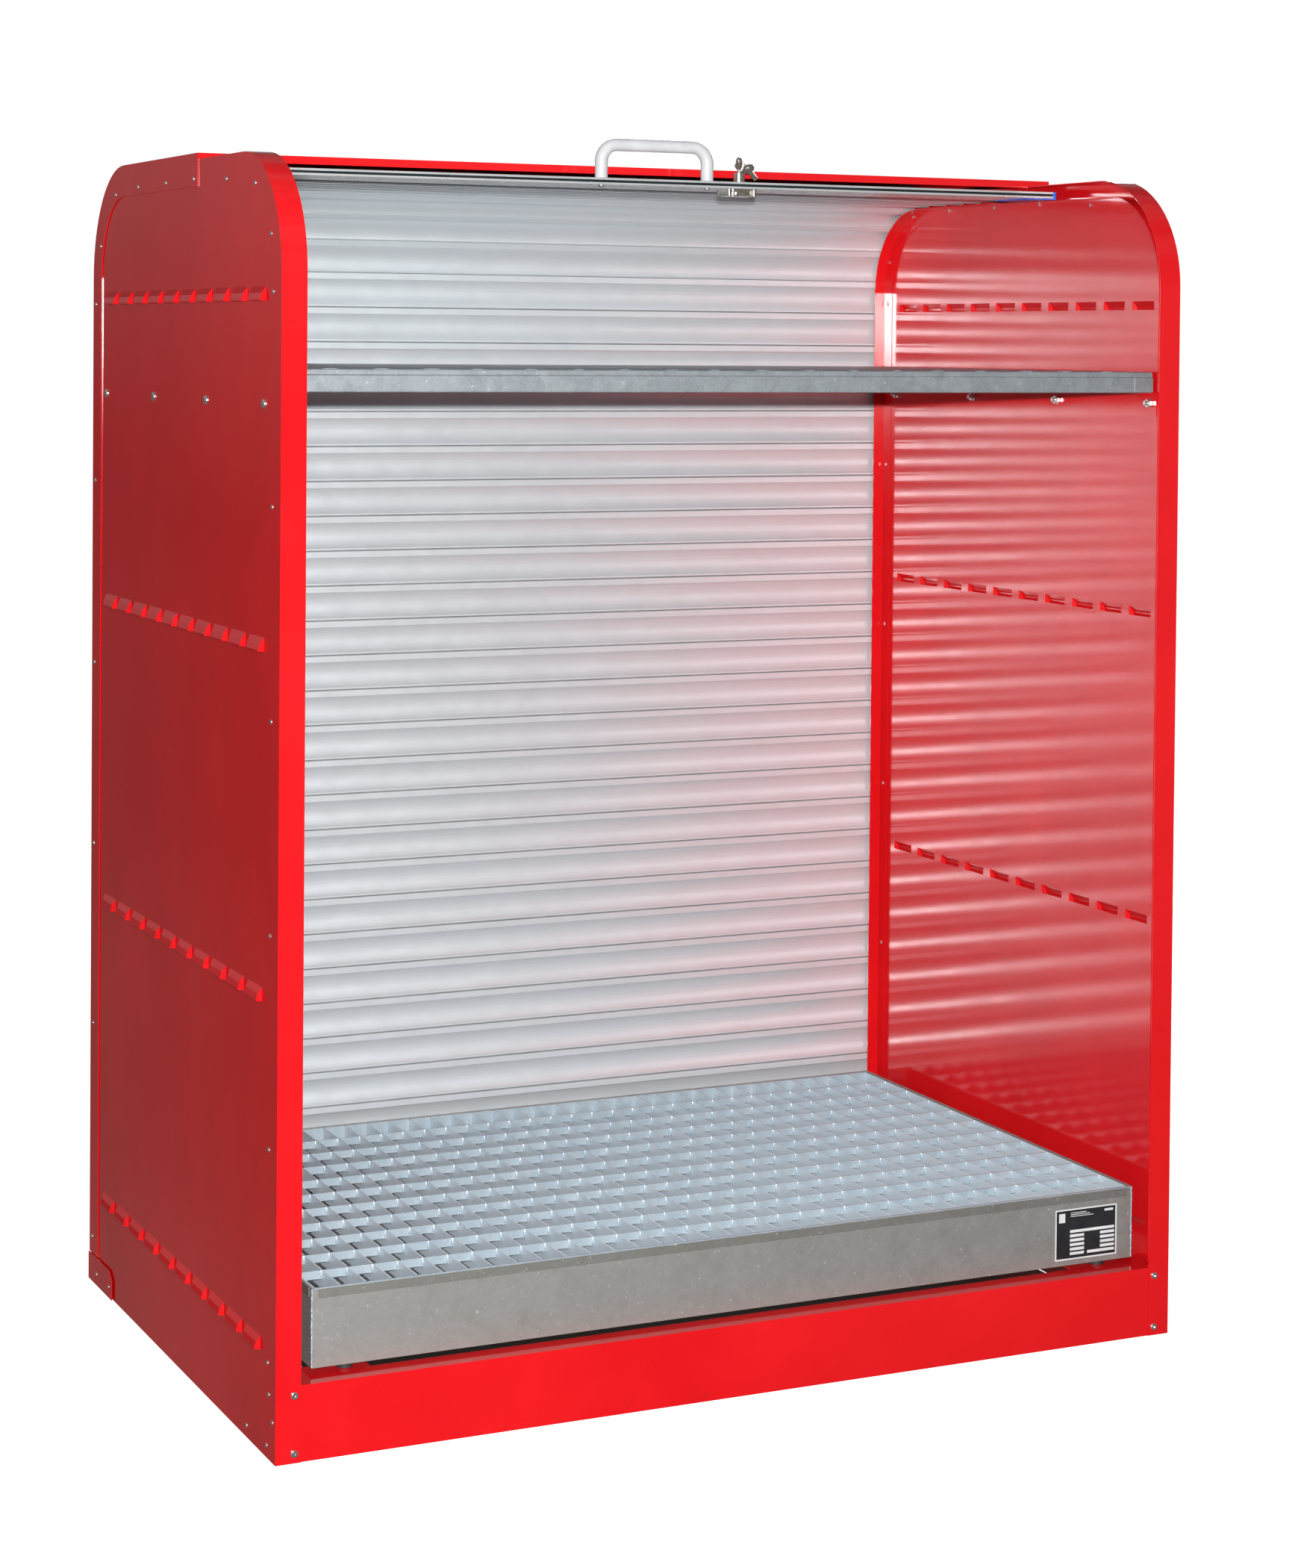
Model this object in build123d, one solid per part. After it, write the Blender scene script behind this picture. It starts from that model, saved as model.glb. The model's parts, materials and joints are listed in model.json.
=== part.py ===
from build123d import *
import math
import os

# Roll-top cabinet for flammable liquids: red sheet-steel carcass, aluminium slatted shutter that runs
# over the top and down the back, galvanised spill tray with a press-locked grating, one steel shelf.
# Working frame while modelling: X to the right, Y from the front face backwards, Z up from the floor.
# Everything is shifted back by half of the depth at the end, so the origin is the base centre.

# ---------------------------------------------------------------- driving dimensions, mm
WIDTH = 1620.0            # over the two side panels
PANEL_DEPTH = 1058.0      # side panel, front face to rear edge
PANEL_HEIGHT = 2002.0     # side panel, floor to flat top
CORNER_R = 190.0          # both upper corners of the side panel
SHEET = 1.5               # carcass sheet
FACE_WIDTH = 41.0         # front face strip of each side panel
GAP = 0.3                 # running gap between separate sheets

LOUVRE_COUNT = 10
LOUVRE_PITCH = 92.0
LOUVRE_FIRST_Y = 110.0    # centre of the first louvre behind the front face
LOUVRE_LENGTH = 70.0
LOUVRE_HEIGHT = 22.0
LOUVRE_DEPTH = 8.0
LOUVRE_SILL = 5.0         # the slot in the sheet starts this far above the hood's mouth
LOUVRE_ROW_FIRST = 156.5  # lower edge of the lowest row
LOUVRE_ROW_PITCH = 537.5
LOUVRE_ROWS = 4

RAIL_INNER = 26.5         # channel width: panel outline to the rail's running flange
RAIL_FLANGE = 24.0        # running flange, sideways
RAIL_LEAF = 28.0          # fixing flange, on the panel
RAIL_BOTTOM = 121.0

COVER_CLEAR = 3.0         # rear cover stands this far off the panel outline at the back
COVER_RISE = 5.5          # and this much more above the roof
COVER_LEAF = 50.0         # rear cover's side flange
COVER_FRONT = 428.0       # front edge of the rear cover on the roof
COVER_LIP = 13.0          # turned-down front edge
COVER_BOTTOM = 50.0

PLINTH_HEIGHT = 118.0
PLINTH_FLANGE = 45.0      # top return in front of the tray
PLINTH_TAB = 80.0         # deeper tabs at both ends, which carry the tray's front feet
PLINTH_TAB_X = 640.0      # where the tabs start
EAR_LENGTH = 155.0        # side ears of the two base members
EAR_HEIGHT = 49.0

SLAT_PITCH = 65.0
SLAT_GAP = 2.4            # play between neighbouring slats
SLAT_WALL = 1.6
SLAT_HALF = 803.0         # half length, ends run in the rails
PATH_INSET = 18.0         # slat centre line inside the panel outline
BACK_SLATS = 24           # slats that stay on the straight back run
FIRST_JOINT = 24.0        # first joint past the start of the rear bend, along the path
TOP_SLATS = 6
BAR_DEPTH = 123.0         # end bar along the path
BAR_DROP = 8.0            # underside of the bar below the slats' centre line
BAR_THICK = 12.0
BAR_GROOVE = (4.0, 8.3)   # groove in the bar's front edge, heights above its underside
BAR_HALF = 766.0
CAP_HALF = 774.5          # end face of the caps; their guide tongues run on into the rails
CAP_SKIRT_X = 713.0       # the caps' skirts reach in this far under the bar

HANDLE_X = (-121.0, 79.0)
HANDLE_R = 11.0
HANDLE_CORNER = 29.0
HANDLE_HEIGHT = 69.0
HANDLE_SETBACK = 24.0     # behind the bar's front edge
LOCK_X = 139.0
LOCK_SETBACK = 15.0
LOCK_R = 10.5
LOCK_HEIGHT = 18.0
ROTOR_R = 7.0

SHELF_HALF = 787.0
SHELF_FRONT = 45.0
SHELF_REAR = 1000.0
SHELF_TOP = 1665.5
SHELF_LIP = 36.2
BRACKET_LEG = 42.0
BRACKET_SEAT = 34.0
BRACKET_WALL = 3.0
BOLT_Z = 1611.0
BOLT_YS = (81.0, 380.0, 678.0, 976.0)

TRAY_LEFT = -737.5
TRAY_WIDTH = 1500.0
TRAY_FRONT = 45.0
TRAY_DEPTH = 950.0
TRAY_BOTTOM = 126.5
TRAY_TOP = 250.0
TRAY_WALL = 2.0
REST_END = 6.0            # the ledges stop short of the tray's round corners
REST_WIDTH = 24.0
REST_DEPTH = 30.0
GRATE_HEIGHT = 30.0
GRATE_CELLS = (35, 11)
GRATE_BAR = 3.0
GRATE_PLAY = 4.0

RIVET_R = 4.0
RIVET_HEAD = 1.6
RIVET_SHANK_R = 2.0

HALF = WIDTH / 2
INSIDE = HALF - SHEET
TRAY_MID_X = TRAY_LEFT + TRAY_WIDTH / 2
SCREW_HEAD = 3.2          # the plinth screws are what stands furthest forward
BACK_SHIFT = -(PANEL_DEPTH + COVER_CLEAR + SHEET - SCREW_HEAD) / 2


# ---------------------------------------------------------------- helpers
def block(x0, x1, y0, y1, z0, z1):
    """Box between two corners."""
    size = (x1 - x0, y1 - y0, z1 - z0)
    centre = ((x0 + x1) / 2, (y0 + y1) / 2, (z0 + z1) / 2)
    return Pos(*centre) * Box(*size)


def rod(x, y, z, radius, length, axis):
    """Cylinder that starts at a point and runs along +X, +Y or +Z."""
    turn = {"x": Rot(0, 90, 0), "y": Rot(-90, 0, 0), "z": Rot(0, 0, 0)}[axis]
    lift = Pos(0, 0, length / 2)
    return Pos(x, y, z) * turn * lift * Cylinder(radius, length)


def profile(points, x0, x1):
    """Closed outline in Y and Z, run along X."""
    wire = Polyline([(0, y, z) for y, z in points], close=True)
    face = Face(Wire(wire.edges()))
    if face.normal_at().X < 0:
        face = -face
    return Pos(x0, 0, 0) * extrude(face, x1 - x0)


def carcass_outline(inset, bottom):
    """Side outline, rectangle with two rounded upper corners, moved inwards by inset."""
    width = PANEL_DEPTH - 2 * inset
    height = PANEL_HEIGHT - inset - bottom
    flat = Pos(PANEL_DEPTH / 2, bottom + height / 2) * Rectangle(width, height)
    corners = flat.vertices().sort_by(Axis.Y)[-2:]
    return fillet(corners, CORNER_R - inset)


def band(outer, inner, bottom, x0, x1):
    """Strip between two insets of the outline, open at the bottom, run along X."""
    flat = carcass_outline(outer, bottom) - carcass_outline(inner, bottom - 20)
    return Pos(x0, 0, 0) * extrude(Plane.YZ * flat, x1 - x0)


def outline_point(along, inset):
    """Point on the outline at an inset: along runs up the front, over the top and down the back."""
    leg = PANEL_HEIGHT - CORNER_R
    r = CORNER_R - inset
    bend = math.pi / 2 * r
    top = PANEL_DEPTH - 2 * CORNER_R
    if along <= leg:
        return inset, along
    if along <= leg + bend:
        a = (along - leg) / r
        return CORNER_R - r * math.cos(a), leg + r * math.sin(a)
    if along <= leg + bend + top:
        return CORNER_R + along - leg - bend, PANEL_HEIGHT - inset
    if along <= leg + 2 * bend + top:
        a = (along - leg - bend - top) / r
        return PANEL_DEPTH - CORNER_R + r * math.sin(a), leg + r * math.cos(a)
    return PANEL_DEPTH - inset, leg - (along - leg - 2 * bend - top)


def mirrored(shape):
    """Right-hand twin of a left-hand part."""
    return shape.mirror(Plane.YZ)


# ---------------------------------------------------------------- side panels with louvres
def louvre_hood(grow, through):
    """Pressed hood open downwards, mouth at z 0; grow shrinks it to the hollow inside."""
    reach = LOUVRE_DEPTH - grow
    length = LOUVRE_LENGTH - 2 * grow
    height = LOUVRE_HEIGHT - grow * 1.4
    side = [(0, height), (-reach * 0.72, height * 0.55), (-reach, height * 0.12), (-reach, 0), (0, 0)]
    if through:
        side = [(through, height), *side, (0, LOUVRE_SILL), (through, LOUVRE_SILL)]
    wire = Polyline([(x, 0, z) for x, z in side], close=True)
    hood = extrude(Face(Wire(wire.edges())), length / 2, both=True, dir=(0, 1, 0))
    slant = reach * 0.8
    plan = [(through, length / 2), (0, length / 2), (-reach, length / 2 - slant)]
    plan += [(-reach, slant - length / 2), (0, -length / 2), (through, -length / 2)]
    if not through:
        plan = plan[1:-1]
    wire = Polyline([(x, y, 0) for x, y in plan], close=True)
    cut = extrude(Face(Wire(wire.edges())), 2 * LOUVRE_HEIGHT, dir=(0, 0, 1))
    return hood & cut


def louvre_places():
    for row in range(LOUVRE_ROWS):
        for n in range(LOUVRE_COUNT):
            yield LOUVRE_FIRST_Y + n * LOUVRE_PITCH, LOUVRE_ROW_FIRST + row * LOUVRE_ROW_PITCH


def side_panel():
    plate = Pos(-HALF, 0, 0) * extrude(Plane.YZ * carcass_outline(0, 0), SHEET)
    face = band(0, SHEET, 0, -HALF, -HALF + FACE_WIDTH)
    outer = louvre_hood(0, 0)
    inner = Pos(0, 0, -0.01) * louvre_hood(SHEET * 0.8, 2 * SHEET)
    hoods = [Pos(-HALF, y, z) * outer for y, z in louvre_places()]
    hollows = [Pos(-HALF, y, z) * inner for y, z in louvre_places()]
    panel = (plate + face).fuse(*hoods)
    if not hasattr(panel, "cut"):
        panel = Compound(panel)
    return panel.cut(*hollows)


panel_left = side_panel()
panel_right = mirrored(panel_left)


# ---------------------------------------------------------------- shutter guide rails
def guide_rail():
    x0 = -INSIDE + GAP
    runner = band(RAIL_INNER, RAIL_INNER + SHEET, RAIL_BOTTOM, x0, x0 + RAIL_FLANGE)
    leaf = band(RAIL_INNER + SHEET / 2, RAIL_INNER + SHEET + RAIL_LEAF, RAIL_BOTTOM, x0, x0 + SHEET)
    return runner + leaf


rail_left = guide_rail()
rail_right = mirrored(rail_left)
RAIL_RIVET_INSET = RAIL_INNER + SHEET + 11.0
RAIL_RIVET_STEP = 327.0


def rivet(x_sheet, y, z, grip, side):
    """Blind rivet through a side sheet, domed head outside and a small collar inside."""
    head = Pos(0, 0, 0) * Cylinder(RIVET_R, RIVET_HEAD)
    head = fillet(head.edges().sort_by(Axis.Z)[-1], RIVET_HEAD * 0.75)
    shank = Pos(0, 0, -grip / 2 - RIVET_HEAD / 2) * Cylinder(RIVET_SHANK_R, grip)
    tail = Pos(0, 0, -grip - RIVET_HEAD / 2 - 0.9) * Cylinder(RIVET_R * 0.8, 1.8)
    turn = Rot(0, -90, 0) if side < 0 else Rot(0, 90, 0)
    return Pos(x_sheet + side * RIVET_HEAD / 2, y, z) * turn * (head + shank + tail)


def flush_rivet(y, z):
    """Left-hand rivet set from inside, flush with the panel's outer face."""
    x0 = -INSIDE + GAP + SHEET
    head = rod(x0, y, z, RIVET_R, RIVET_HEAD, "x")
    head = fillet(head.edges().sort_by(Axis.X)[-1], RIVET_HEAD * 0.75)
    return head + rod(-HALF, y, z, RIVET_SHANK_R, x0 + HALF, "x")


def leg_heights(first, last, step):
    count = int((last - first) / step) + 1
    return [first + i * step for i in range(count)]


rail_rivet_points = [(RAIL_RIVET_INSET, z) for z in leg_heights(147.0, 1790.0, RAIL_RIVET_STEP)]
front_bend = PANEL_HEIGHT - CORNER_R
rail_rivet_points += [outline_point(front_bend + a, RAIL_RIVET_INSET) for a in (60.0, 175.0)]
rail_rivet_points.append((278.0, PANEL_HEIGHT - RAIL_RIVET_INSET))
# the rear leg's rivets are set from inside and end flush, because the rear cover's leaf lies over them
flush_rivet_points = [(PANEL_DEPTH - RAIL_RIVET_INSET, z) for z in leg_heights(180.0, 1790.0, 322.0)]


# ---------------------------------------------------------------- rear cover
def rear_cover():
    rise = Pos(0, COVER_RISE)
    outer = rise * carcass_outline(-COVER_CLEAR - SHEET, COVER_BOTTOM - COVER_RISE)
    middle = rise * carcass_outline(-COVER_CLEAR, COVER_BOTTOM - 20)
    inner = rise * carcass_outline(COVER_LEAF, COVER_BOTTOM - 20)
    half = HALF + GAP + SHEET
    shell = Pos(-half, 0, 0) * extrude(Plane.YZ * (outer - middle), 2 * half)
    leaf = Pos(-half, 0, 0) * extrude(Plane.YZ * (outer - inner), SHEET)
    body = shell + leaf + mirrored(leaf)
    keep = block(-half - 1, half + 1, COVER_FRONT, PANEL_DEPTH + 50, 0, PANEL_HEIGHT + 50)
    body = body & keep
    top = PANEL_HEIGHT + COVER_CLEAR + COVER_RISE + SHEET
    front, between = COVER_FRONT + SHEET, HALF - FACE_WIDTH - 2
    hem = block(-half, half, COVER_FRONT, front, PANEL_HEIGHT + GAP, top - SHEET / 2)
    lip = block(-between, between, COVER_FRONT, front, top - COVER_LIP, top - SHEET / 2)
    return body + hem + lip


cover = rear_cover()
COVER_RIVET_INSET = 32.0
cover_rivet_points = [(y, PANEL_HEIGHT - COVER_RIVET_INSET) for y in (449.0, 609.0, 776.0)]
rear_bend = front_bend + math.pi / 2 * (CORNER_R - COVER_RIVET_INSET) + PANEL_DEPTH - 2 * CORNER_R
cover_rivet_points += [outline_point(rear_bend + a, COVER_RIVET_INSET) for a in (50.0, 185.0)]
COVER_LEG_INSET = 13.0
cover_leg_points = [(PANEL_DEPTH - COVER_LEG_INSET, z) for z in (80.0, 469.0, 796.0, 1124.0, 1453.0, 1770.0)]


# ---------------------------------------------------------------- base members
def front_plinth():
    y0 = SHEET + GAP
    half = INSIDE - GAP
    web = block(-half, half, y0, y0 + SHEET, 0, PLINTH_HEIGHT)
    top = block(-half, half, y0, y0 + PLINTH_FLANGE, PLINTH_HEIGHT - SHEET, PLINTH_HEIGHT)
    tab = block(-half, -PLINTH_TAB_X, y0, y0 + PLINTH_TAB, PLINTH_HEIGHT - SHEET, PLINTH_HEIGHT)
    foot = block(-half, half, y0, y0 + 40, 0, SHEET)
    return web + top + tab + mirrored(tab) + foot


def plinth_bracket():
    """Angle that ties the plinth to a side panel, riveted through the panel."""
    x0 = -INSIDE + GAP
    y0 = 2 * SHEET + GAP
    return block(x0, x0 + SHEET, y0, EAR_LENGTH, SHEET, PLINTH_HEIGHT - SHEET)


def rear_base():
    """Rear member: web behind the curtain, top return under the tray, ears outside the panels."""
    y1 = PANEL_DEPTH - SHEET - GAP
    half = INSIDE - GAP
    web = block(-half, half, y1 - SHEET, y1, 0, PLINTH_HEIGHT)
    top = block(-half, half, y1 - 100, y1, PLINTH_HEIGHT - SHEET, PLINTH_HEIGHT)
    foot = block(-half, half, y1 - 40, y1, 0, SHEET)
    return web + top + foot


def corner_ear():
    """Outer corner plate at the foot of the rear edge, with one chamfered corner."""
    x0 = -HALF - 2 * GAP - 2 * SHEET
    rear = PANEL_DEPTH + COVER_CLEAR + SHEET
    front = rear - EAR_LENGTH
    plate = [(front, 0), (front, EAR_HEIGHT - 14), (front + 18, EAR_HEIGHT), (rear, EAR_HEIGHT), (rear, 0)]
    return profile(plate, x0, x0 + SHEET)


plinth = front_plinth()
tie_left = plinth_bracket()
ties = Compound([tie_left, mirrored(tie_left)])
base_rear = rear_base()
ear_left = corner_ear()
ears = Compound([ear_left, mirrored(ear_left)])
ear_rivet_points = [(1008.0, 20.0), (925.0, 20.0)]
plinth_rivet_points = [(32.0, 100.0), (14.0, 62.0), (42.0, 19.0), (140.0, 19.0)]


def both_sides(points, x_sheet, grip):
    left = [rivet(-x_sheet, y, z, grip, -1) for y, z in points]
    right = [rivet(x_sheet, y, z, grip, 1) for y, z in points]
    return left + right


def drill_set(points, x_sheet, depth):
    """Clearance holes for the rivets of both sides."""
    left = [rod(-x_sheet - 1, y, z, RIVET_SHANK_R, depth, "x") for y, z in points]
    return left + [mirrored(hole) for hole in left]


def drilled(part, holes):
    cut = part.cut(*holes)
    solids = cut.solids() if hasattr(cut, "solids") else ShapeList(cut)
    return solids[0] if len(solids) == 1 else Compound(solids)


rail_rivets = both_sides(rail_rivet_points, HALF, SHEET * 2 + GAP)
for y, z in flush_rivet_points:
    rail_rivets += [flush_rivet(y, z), mirrored(flush_rivet(y, z))]
cover_rivets = both_sides(cover_rivet_points, HALF + GAP + SHEET, SHEET * 3 + GAP * 2)
cover_rivets += both_sides(cover_leg_points, HALF + GAP + SHEET, SHEET * 2 + GAP)
plinth_rivets = both_sides(plinth_rivet_points, HALF, SHEET * 2 + GAP)
ear_rivets = both_sides(ear_rivet_points, HALF + 2 * GAP + 2 * SHEET, SHEET * 3 + 2 * GAP)

rail_holes = drill_set(rail_rivet_points + flush_rivet_points, HALF, 8)
cover_holes = drill_set(cover_rivet_points + cover_leg_points, HALF + GAP + SHEET, 8)
plinth_holes = drill_set(plinth_rivet_points, HALF, 8)
ear_holes = drill_set(ear_rivet_points, HALF + 2 * GAP + 2 * SHEET, 10)
bolt_holes = [rod(-HALF - 1, y, BOLT_Z, 4.0, 8, "x") for y in BOLT_YS]
bolt_holes += [mirrored(hole) for hole in bolt_holes]

SCREW_X = HALF - 30.0
SCREW_ZS = (15.0, 104.0)
screw_holes = [rod(side * SCREW_X, -1, z, 3.0, 10, "y") for side in (-1, 1) for z in SCREW_ZS]


def one_side(holes, side):
    return [hole for hole in holes if hole.center().X * side > 0]


panel_all = rail_holes + cover_holes + plinth_holes + ear_holes + bolt_holes + screw_holes
panel_left = drilled(panel_left, one_side(panel_all, -1))
panel_right = drilled(panel_right, one_side(panel_all, 1))
rail_left = drilled(rail_left, one_side(rail_holes + cover_holes, -1))
rail_right = drilled(rail_right, one_side(rail_holes + cover_holes, 1))
cover = drilled(cover, cover_holes + ear_holes)
plinth = drilled(plinth, screw_holes)
ties = drilled(ties, plinth_holes)
ears = drilled(ears, ear_holes)


def plinth_screw(x, z):
    head = rod(x, -SCREW_HEAD, z, 6.0, SCREW_HEAD, "y")
    head = fillet(head.edges().sort_by(Axis.Y)[0], SCREW_HEAD / 2)
    drive = Pos(x, -SCREW_HEAD, z) * Rot(-90, 0, 0) * extrude(RegularPolygon(2.1, 6), 1.8)
    shank = rod(x, 0, z, 3.0, 7.0, "y")
    nut = Pos(x, 2 * SHEET + GAP, z) * Rot(-90, 0, 0) * extrude(RegularPolygon(5.5, 6), 3.5)
    return (head + shank + nut) - drive


plinth_screws = [plinth_screw(side * SCREW_X, z) for side in (-1, 1) for z in SCREW_ZS]


# ---------------------------------------------------------------- shelf and its brackets
def shelf_sheet():
    x = SHELF_HALF
    z1 = SHELF_TOP
    z0 = SHELF_TOP - SHELF_LIP
    wall = 1.5
    ledge = 9.0
    step = 2.0
    deck = block(-x, x, SHELF_FRONT + step, SHELF_REAR, z1 - wall, z1)
    upper = block(-x, x, SHELF_FRONT + step, SHELF_FRONT + step + wall, z1 - ledge - wall, z1)
    joggle = block(-x, x, SHELF_FRONT, SHELF_FRONT + step + wall, z1 - ledge - wall, z1 - ledge)
    lower = block(-x, x, SHELF_FRONT, SHELF_FRONT + wall, z0, z1 - ledge)
    foot = block(-x, x, SHELF_FRONT, SHELF_FRONT + 16, z0, z0 + wall)
    back = block(-x, x, SHELF_REAR - wall, SHELF_REAR, z0, z1)
    hem = block(-x, x, SHELF_REAR - 16, SHELF_REAR, z0, z0 + wall)
    side = block(-x, -x + wall, SHELF_FRONT + step, SHELF_REAR, z0, z1)
    return deck + upper + joggle + lower + foot + back + hem + side + mirrored(side)


def shelf_bracket():
    x0 = -INSIDE + GAP
    z1 = SHELF_TOP - SHELF_LIP - GAP
    leg = block(x0, x0 + BRACKET_WALL, 62, 997, z1 - BRACKET_LEG, z1)
    seat = block(x0, x0 + BRACKET_SEAT, 62, 997, z1 - BRACKET_WALL, z1)
    return leg + seat


bracket_left = shelf_bracket()
bracket_right = mirrored(bracket_left)
bracket_left = drilled(bracket_left, one_side(bolt_holes, -1))
bracket_right = drilled(bracket_right, one_side(bolt_holes, 1))


def bracket_bolt(y):
    head = rod(-HALF - 3.6, y, BOLT_Z, 8.0, 3.6, "x")
    head = fillet(head.edges().sort_by(Axis.X)[0], 2.6)
    shank = rod(-HALF, y, BOLT_Z, 4.0, 17.0, "x")
    return head + shank


def bracket_nut(y):
    x0 = -INSIDE + GAP + BRACKET_WALL
    washer = rod(x0, y, BOLT_Z, 8.0, 1.4, "x")
    body = Pos(x0 + 1.4, y, BOLT_Z) * Rot(0, 90, 0) * extrude(RegularPolygon(7.5, 6), 6.0)
    return (washer + body) - rod(x0 - 1, y, BOLT_Z, 4.0, 12, "x")


bolts_left = [bracket_bolt(y) for y in BOLT_YS]
nuts_left = [bracket_nut(y) for y in BOLT_YS]
bracket_bolts = bolts_left + [mirrored(b) for b in bolts_left]
bracket_nuts = nuts_left + [mirrored(n) for n in nuts_left]


# ---------------------------------------------------------------- spill tray, grating, plate
def spill_tray():
    """Open pan with square corners, which are welded."""
    x0, x1 = TRAY_LEFT, TRAY_LEFT + TRAY_WIDTH
    y0, y1 = TRAY_FRONT, TRAY_FRONT + TRAY_DEPTH
    t = TRAY_WALL
    outer = block(x0, x1, y0, y1, TRAY_BOTTOM, TRAY_TOP)
    hollow = block(x0 + t, x1 - t, y0 + t, y1 - t, TRAY_BOTTOM + t, TRAY_TOP + 1)
    return outer - hollow


def grating_rests():
    """Ledges along the front and rear wall, and three cross bars welded under them."""
    t = TRAY_WALL
    x0, x1 = TRAY_LEFT + t, TRAY_LEFT + TRAY_WIDTH - t
    y0, y1 = TRAY_FRONT + t, TRAY_FRONT + TRAY_DEPTH - t
    top = TRAY_TOP - 1.0 - GRATE_HEIGHT
    rests = [block(x0 + REST_END, x1 - REST_END, y0, y0 + REST_WIDTH, top - t, top)]
    rests.append(block(x0 + REST_END, x1 - REST_END, y1 - REST_WIDTH, y1, top - t, top))
    for k in (1, 2, 3):
        x = TRAY_LEFT + TRAY_WIDTH * k / 4
        rests.append(block(x - t, x + t, y0, y1, top - REST_DEPTH, top - t))
    return Compound(rests)


def grating():
    x0 = TRAY_LEFT + TRAY_WALL + GRATE_PLAY
    y0 = TRAY_FRONT + TRAY_WALL + GRATE_PLAY
    w = TRAY_WIDTH - 2 * (TRAY_WALL + GRATE_PLAY)
    d = TRAY_DEPTH - 2 * (TRAY_WALL + GRATE_PLAY)
    nx, ny = GRATE_CELLS
    px = (w - GRATE_BAR) / nx
    py = (d - GRATE_BAR) / ny
    sheet = Rectangle(w, d)
    holes = GridLocations(px, py, nx, ny) * Rectangle(px - GRATE_BAR, py - GRATE_BAR)
    flat = sheet - holes
    return Pos(x0 + w / 2, y0 + d / 2, TRAY_TOP - 1.0 - GRATE_HEIGHT) * extrude(flat, GRATE_HEIGHT)


tray = spill_tray()
rests = grating_rests()
grate = grating()
FOOT_TOP = TRAY_BOTTOM
FOOT_BOTTOM = PLINTH_HEIGHT + GAP
foot_places = [(TRAY_LEFT + 60, TRAY_FRONT + 18), (TRAY_LEFT + TRAY_WIDTH - 60, TRAY_FRONT + 18)]
foot_places += [(x, TRAY_FRONT + TRAY_DEPTH - 20) for x, _ in foot_places[:2]]
tray_feet = [rod(x, y, FOOT_BOTTOM, 13.0, FOOT_TOP - FOOT_BOTTOM, "z") for x, y in foot_places]

PLATE_X = 669.0
PLATE_Z = 180.0
type_plate = block(PLATE_X - 62.5, PLATE_X + 62.5, TRAY_FRONT - 1.0, TRAY_FRONT, PLATE_Z - 44, PLATE_Z + 44)
type_plate = fillet(type_plate.edges().filter_by(Axis.Y), 3)


def earth_lug():
    """Small clip on the tray's right-hand wall for the earthing lead."""
    x1 = TRAY_LEFT + TRAY_WIDTH
    lug = block(x1, x1 + 1.5, TRAY_FRONT + 12, TRAY_FRONT + 28, 186, 206)
    tongue = block(x1, x1 + 5.5, TRAY_FRONT + 14, TRAY_FRONT + 26, 192, 193.5)
    return lug + tongue


lug = earth_lug()


# ---------------------------------------------------------------- shutter path and slats
REAR_BEND_R = CORNER_R - PATH_INSET
BEND_Y = PANEL_DEPTH - CORNER_R
BEND_Z = PANEL_HEIGHT - CORNER_R
BEND_LENGTH = math.pi / 2 * REAR_BEND_R


def path_point(s):
    """Shutter centre line: s is 0 where the rear bend starts, negative down the back."""
    if s <= 0:
        return BEND_Y + REAR_BEND_R, BEND_Z + s
    if s <= BEND_LENGTH:
        a = s / REAR_BEND_R
        return BEND_Y + REAR_BEND_R * math.cos(a), BEND_Z + REAR_BEND_R * math.sin(a)
    return BEND_Y - (s - BEND_LENGTH), BEND_Z + REAR_BEND_R


def slat_section():
    """Closed outline of one slat: u along the run, w towards the outside of the cabinet."""
    lip = 11.0
    inner = []
    u0, u1 = SLAT_GAP / 2, SLAT_PITCH - SLAT_GAP / 2
    inner.append((u0, -4.4))
    inner.append((u0 + 3.0, -4.4))
    steps = 10
    a0, a1 = u0 + 5.0, u1 - lip - 1.5
    for i in range(steps + 1):
        f = i / steps
        inner.append((a0 + (a1 - a0) * f, -3.2 + 5.2 * math.sin(math.pi * f) ** 0.9))
    inner.append((u1 - lip, -4.4))
    inner.append((u1, -4.4))
    outer = [(u, min(w + SLAT_WALL + 0.3, 4.6)) for u, w in inner]
    return inner + outer[::-1]


def slat_at(s0):
    """One slat hung between the path points at s0 and one pitch further on."""
    y0, z0 = path_point(s0)
    y1, z1 = path_point(s0 + SLAT_PITCH)
    chord = math.hypot(y1 - y0, z1 - z0)
    uy, uz = (y1 - y0) / chord, (z1 - z0) / chord
    wy, wz = uz, -uy
    start = (chord - SLAT_PITCH) / 2
    points = []
    for u, w in slat_section():
        points.append((y0 + uy * (u + start) + wy * w, z0 + uz * (u + start) + wz * w))
    return profile(points, -SLAT_HALF, SLAT_HALF)


def joint_at(index):
    """Path position of a slat's lower joint, counted from the first one past the bend's start."""
    return FIRST_JOINT + SLAT_PITCH * index


back_slats = [slat_at(joint_at(-2 - n)) for n in range(1, BACK_SLATS + 1)]
entry_slat_low = slat_at(joint_at(-2))
entry_slat_high = slat_at(joint_at(-1))
bend_slats = [slat_at(joint_at(0)), slat_at(joint_at(1))]
exit_slat_low = slat_at(joint_at(2))
exit_slat_high = slat_at(joint_at(3))
top_slats = [slat_at(joint_at(4 + n)) for n in range(TOP_SLATS)]

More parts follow.
